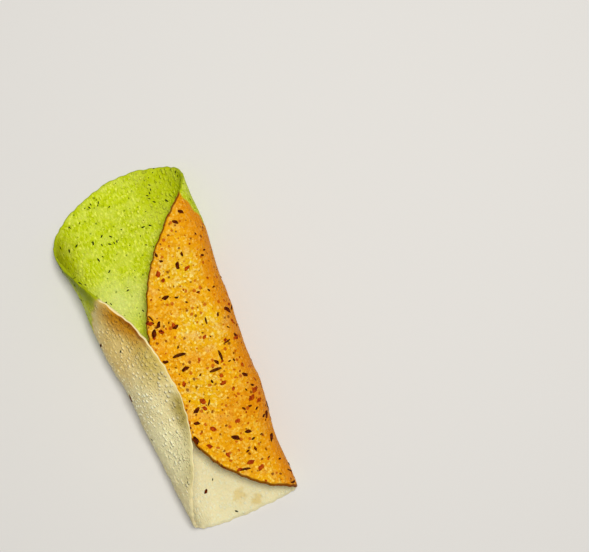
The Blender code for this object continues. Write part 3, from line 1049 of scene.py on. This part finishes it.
def ball(name, rows, sides, shape):
    """A closed grain from rings of points; shape moves each unit point to its place."""
    corners = [shape(0.0, 0.0, -1.0)]
    for row in range(1, rows):
        tilt = pi * row / rows - pi / 2
        for side in range(sides):
            turn = tau * side / sides
            corners.append(shape(cos(tilt) * cos(turn), cos(tilt) * sin(turn), sin(tilt)))
    corners.append(shape(0.0, 0.0, 1.0))
    faces = [(0, 1 + (side + 1) % sides, 1 + side) for side in range(sides)]
    for row in range(rows - 2):
        low = 1 + row * sides
        for side in range(sides):
            after = (side + 1) % sides
            faces.append((low + side, low + after, low + sides + after, low + sides + side))
    top = len(corners) - 1
    faces += [(top, top - sides + side, top - sides + (side + 1) % sides) for side in range(sides)]
    mesh = bpy.data.meshes.new(name)
    mesh.from_pydata(corners, [], faces)
    mesh.shade_smooth()
    return new_object(name, mesh)


def uneven():
    """A little more or less than one, different each time."""
    return 1.0 + GRAIN_DRAW.uniform(-GRAIN_UNEVEN, GRAIN_UNEVEN)


def pepper_shape(x, y, z):
    return Vector((z * 1.25, x * 0.80, y * 0.30)) * uneven()


def fleck_shape(x, y, z):
    return Vector((z * 1.40, x * 0.70 + 0.2 * z * z, y * 0.32)) * uneven()


def cumin_shape(x, y, z):
    """A slim seed, slightly bent, with lengthwise ribs."""
    rib = 1.0 + 0.16 * cos(5.0 * np.arctan2(y, x))
    return Vector((z * 2.7, x * 0.68 * rib + 0.18 * z * z, y * 0.42 * rib))


def flake_shape(x, y, z):
    rough = uneven()
    return Vector((z * 1.5 * rough, x * 0.95 * rough, y * 0.26 + 0.12 * z * x))


GRAINS = (
    # grain, rows, sides, shape
    ("pepper_grain", 5, 7, pepper_shape),
    ("cumin_seed", 7, 10, cumin_shape),
    ("chilli_flake", 5, 7, flake_shape),
    ("herb_fleck", 5, 6, fleck_shape),
)
grain_kinds = {row[0]: ball(*row) for row in GRAINS}
print("grain faces:", {name: len(kind.data.polygons) for name, kind in grain_kinds.items()})

# %% [markdown]
# Fried spices are dark and dull, with patches in two tones. One function makes all four
# materials, which differ in their tones, their roughness and the size of the patches.

# %% the grains' materials
SPICE_TONES = (
    # grain, material, dark tone, light tone, roughness, size of its patches in metres
    ("pepper_grain", "cracked_pepper", (0.045, 0.005, 0.0003), (0.16, 0.022, 0.0005), 0.7, 0.0012),
    ("cumin_seed", "fried_cumin", (0.045, 0.008, 0.0005), (0.15, 0.032, 0.002), 0.7, 0.0010),
    ("chilli_flake", "dried_chilli", (0.26, 0.025, 0.0005), (0.50, 0.080, 0.001), 0.6, 0.0014),
    ("herb_fleck", "dried_herb", (0.010, 0.012, 0.002), (0.045, 0.060, 0.006), 0.7, 0.0010),
)


def make_spice_material(name, dark, light, roughness, size):
    material, tree, shader = new_material(name, roughness)
    place = add(tree, "ShaderNodeTexCoord").outputs["Object"]
    patches = ramp(tree, noise(tree, place, size, 3.0), 0.38, 0.66)
    feed(tree, shader.inputs["Base Color"], blend_colors(tree, patches, dark, light))
    inputs = {"Height": noise(tree, place, size * 0.4, 2.0), "Strength": 0.5, "Distance": 0.0003}
    feed(tree, shader.inputs["Normal"], add(tree, "ShaderNodeBump", inputs).outputs["Normal"])
    rough = ramp(tree, patches, 0.0, 1.0, roughness, roughness + 0.15)
    feed(tree, shader.inputs["Roughness"], rough)
    shader.inputs["Specular IOR Level"].default_value = LOW_SHINE
    return material


spice_looks = {grain: make_spice_material(*look) for grain, *look in SPICE_TONES}
print("spice materials:", list(spice_looks))

# %% [markdown]
# The scatter tree spreads points over both skins with a smallest distance between them, and
# keeps them off the flat strip below, where they would stand between the roll and the table.
# How many there are follows the dough: many in the orange, small ones in the green, and
# hardly any in the cream.

# %% the tree that scatters grains
OFF_STRIP = 0.95
CLUSTER_SIZE = 11.0
CLUSTERS = (0.42, 0.60, 0.25, 1.0)
SIZE_SEED = 11.0
MOSTLY_SMALL = 1.8


def random_value(tree, high, seed):
    """A random number from 0 to high for each point."""
    inputs = {2: 0.0, 3: high, "Seed": seed}
    return add(tree, "FunctionNodeRandomValue", inputs, data_type="FLOAT").outputs[1]


def make_scatter_tree():
    sockets = (
        ("Grain", "Object"), ("Most Per Area", "Float"), ("Least Distance", "Float"),
        ("Seed", "Int"), ("Green Share", "Float"), ("Cream Share", "Float"),
        ("Orange Share", "Float"), ("Widest", "Float"), ("Smallest", "Float"),
        ("Largest", "Float"), ("Stand Out", "Float"), ("Finish", "Material"),
    )
    tree, given = geometry_tree("scatter_grains", sockets)
    inputs = {0: given["Green Share"], 1: given["Cream Share"], 2: given["Orange Share"]}
    weights = add(tree, "ShaderNodeCombineXYZ", inputs).outputs[0]
    share = calc_vector(tree, "DOT_PRODUCT", kept(tree, "dough", "FLOAT_VECTOR"), weights)
    off_strip = calc(tree, "ADD", kept(tree, "level"), kept(tree, "free"))
    allowed = calc(tree, "GREATER_THAN", off_strip, OFF_STRIP)
    sideways = split(tree, add(tree, "GeometryNodeInputPosition").outputs[0])[0]
    slim = calc(tree, "LESS_THAN", calc(tree, "ABSOLUTE", sideways), given["Widest"])
    flat = kept(tree, "flat", "FLOAT_VECTOR")
    gathered = ramp(tree, noise(tree, flat, CLUSTER_SIZE, 2.0, (13.0, 5.0, 0.0)), *CLUSTERS)
    allowed = calc(tree, "MULTIPLY", calc(tree, "MULTIPLY", allowed, slim), gathered)
    inputs = {
        "Mesh": given["Geometry"], "Seed": given["Seed"], "Distance Min": given["Least Distance"],
        "Density Max": given["Most Per Area"], "Density Factor": calc(tree, "MULTIPLY", share, allowed),
    }
    points = add(tree, "GeometryNodeDistributePointsOnFaces", inputs, distribute_method="POISSON").outputs

    inputs = {"Vector": points["Normal"]}
    upright = add(tree, "FunctionNodeAlignRotationToVector", inputs, axis="Z").outputs[0]
    inputs = {"Axis": (0.0, 0.0, 1.0), "Angle": random_value(tree, tau, given["Seed"])}
    around = add(tree, "FunctionNodeAxisAngleToRotation", inputs).outputs[0]
    inputs = {0: upright, 1: around}
    turned = add(tree, "FunctionNodeRotateRotation", inputs, rotation_space="LOCAL").outputs[0]
    luck = random_value(tree, 1.0, calc(tree, "ADD", given["Seed"], SIZE_SEED))
    luck = calc(tree, "POWER", luck, MOSTLY_SMALL)
    span = calc(tree, "SUBTRACT", given["Largest"], given["Smallest"])
    size = calc(tree, "MULTIPLY_ADD", luck, span, given["Smallest"])
    grain = add(tree, "GeometryNodeObjectInfo", {"Object": given["Grain"]}, transform_space="ORIGINAL")
    stand_out = calc(tree, "MULTIPLY", size, given["Stand Out"])
    lift = calc_vector(tree, "SCALE", points["Normal"], stand_out)
    inputs = {"Geometry": points["Points"], "Offset": lift}
    lifted = add(tree, "GeometryNodeSetPosition", inputs).outputs[0]
    inputs = {"Points": lifted, "Instance": grain.outputs["Geometry"], "Rotation": turned, "Scale": size}
    close_tree(tree, add(tree, "GeometryNodeInstanceOnPoints", inputs).outputs[0], given["Finish"])
    return tree


scatter_tree = make_scatter_tree()
print("scatter tree:", len(scatter_tree.nodes), "nodes")

# %% [markdown]
# One tree serves all four spices. Each has its own number, spacing, sizes and share in each
# dough. A grain that stands out by a negative share of its size is sunk that deep.

# %% scatter the spices
SPICES = (
    # piece, grain, most per square metre, least distance, seed, green, cream, orange, sizes, stand out
    ("pepper_grains", "pepper_grain", 26000.0, 0.0024, 5, 0.00, 0.02, 0.85, (0.00055, 0.00210), -0.10),
    ("cumin_seeds", "cumin_seed", 7000.0, 0.0062, 9, 0.10, 0.02, 0.65, (0.00070, 0.00140), -0.10),
    ("chilli_flakes", "chilli_flake", 17000.0, 0.0033, 14, 0.00, 0.00, 0.85, (0.00055, 0.00190), -0.12),
    ("herb_flecks", "herb_fleck", 40000.0, 0.0015, 23, 0.85, 0.07, 0.00, (0.00035, 0.00100), -0.10),
)
GRAIN_REACH = 2.7


def scatter(piece, kind, most, distance, seed, green, cream, orange, sizes, stand_out):
    values = {
        "Grain": grain_kinds[kind], "Most Per Area": most, "Least Distance": distance, "Seed": seed,
        "Green Share": green, "Cream Share": cream, "Orange Share": orange,
        "Widest": solid_box[1][0] - GRAIN_REACH * sizes[1] / 2, "Smallest": sizes[0],
        "Largest": sizes[1], "Stand Out": stand_out, "Finish": spice_looks[kind],
    }
    made = run_tree(sheet, scatter_tree, values, piece)
    faces = len(made.data.polygons)
    print(piece, "faces:", faces, "grains:", faces // len(grain_kinds[kind].data.polygons))
    return made


spices = [scatter(*row) for row in SPICES]
for kind in grain_kinds.values():
    bpy.data.objects.remove(kind, do_unlink=True)

# %% [markdown]
# All finished pieces ride on the one body and stand for the plain solid, which is then hidden.

# %% hand the pieces to the frame
for piece in [sheet, *spices]:
    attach(piece, "root")
    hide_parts("papadum")
print("pieces:", [piece.name for piece in [sheet, *spices]])

# %% [markdown]
# The floor is plain and pale, and the light is soft, as in a studio. One square lamp hangs
# above the roll, a little to the upper right of the picture, because the bubbles are bright
# on that side. It is high, so the flaps throw only short shadows, and a pale room fills in.

# %% floor and light
FLOOR_HALF = 2.0
FLOOR_GAP = 0.0002
FLOOR_TONE = (0.70, 0.69, 0.67, 1.0)
LAMP_PLACE = (0.22, 0.10, 1.25)
LAMP_SIZE = 0.25
LAMP_POWER = 13.5
WARM_WHITE = (1.0, 0.98, 0.95)
ROOM_STRENGTH = 0.25


def make_floor():
    mesh = bpy.data.meshes.new("floor")
    corners = [(x * FLOOR_HALF, y * FLOOR_HALF, -FLOOR_GAP) for x, y in ((-1, -1), (1, -1), (1, 1), (-1, 1))]
    mesh.from_pydata(corners, [], [(0, 1, 2, 3)])
    material, _, shader = new_material("pale_floor", 0.8)
    shader.inputs["Base Color"].default_value = FLOOR_TONE
    mesh.materials.append(material)
    new_object("floor", mesh)


def make_lamp():
    """A soft square light that looks at the roll."""
    light = bpy.data.lights.new("key", "AREA")
    light.size = LAMP_SIZE
    light.energy = LAMP_POWER
    light.color = WARM_WHITE
    lamp = new_object("key", light)
    lamp.location = LAMP_PLACE
    lamp.rotation_euler = (-Vector(LAMP_PLACE)).to_track_quat("-Z", "Y").to_euler()


make_floor()
make_lamp()
world = bpy.data.worlds.new("studio")
world.use_nodes = True
background = world.node_tree.nodes["Background"]
background.inputs["Color"].default_value = (*WARM_WHITE, 1.0)
background.inputs["Strength"].default_value = ROOM_STRENGTH
bpy.context.scene.world = world
bpy.context.scene.view_settings.view_transform = "Standard"
print("floor, one soft light and a pale room")

# %% [markdown]
# The photograph looks straight down. The camera keeps the roll's place in the picture: its
# height and turn were found by laying the roll's rims over the photograph.

# %% the camera
CAMERA_HEIGHT = 0.72
CAMERA_OVER = (0.0707, 0.0109)
CAMERA_TURN = radians(-22.9)
SENSOR_WIDTH = 36.0
FRAME_WIDTH = 589
METRES_PER_PIXEL = 0.000527

camera_data = bpy.data.cameras.new("camera")
camera_data.sensor_width = SENSOR_WIDTH
camera_data.lens = SENSOR_WIDTH * CAMERA_HEIGHT / METRES_PER_PIXEL / FRAME_WIDTH
camera = new_object("camera", camera_data)
camera.location = (*CAMERA_OVER, CAMERA_HEIGHT)
camera.rotation_euler = (0.0, 0.0, CAMERA_TURN)
bpy.context.scene.camera = camera
print("lens", round(camera_data.lens, 1), "mm at", CAMERA_HEIGHT, "m")
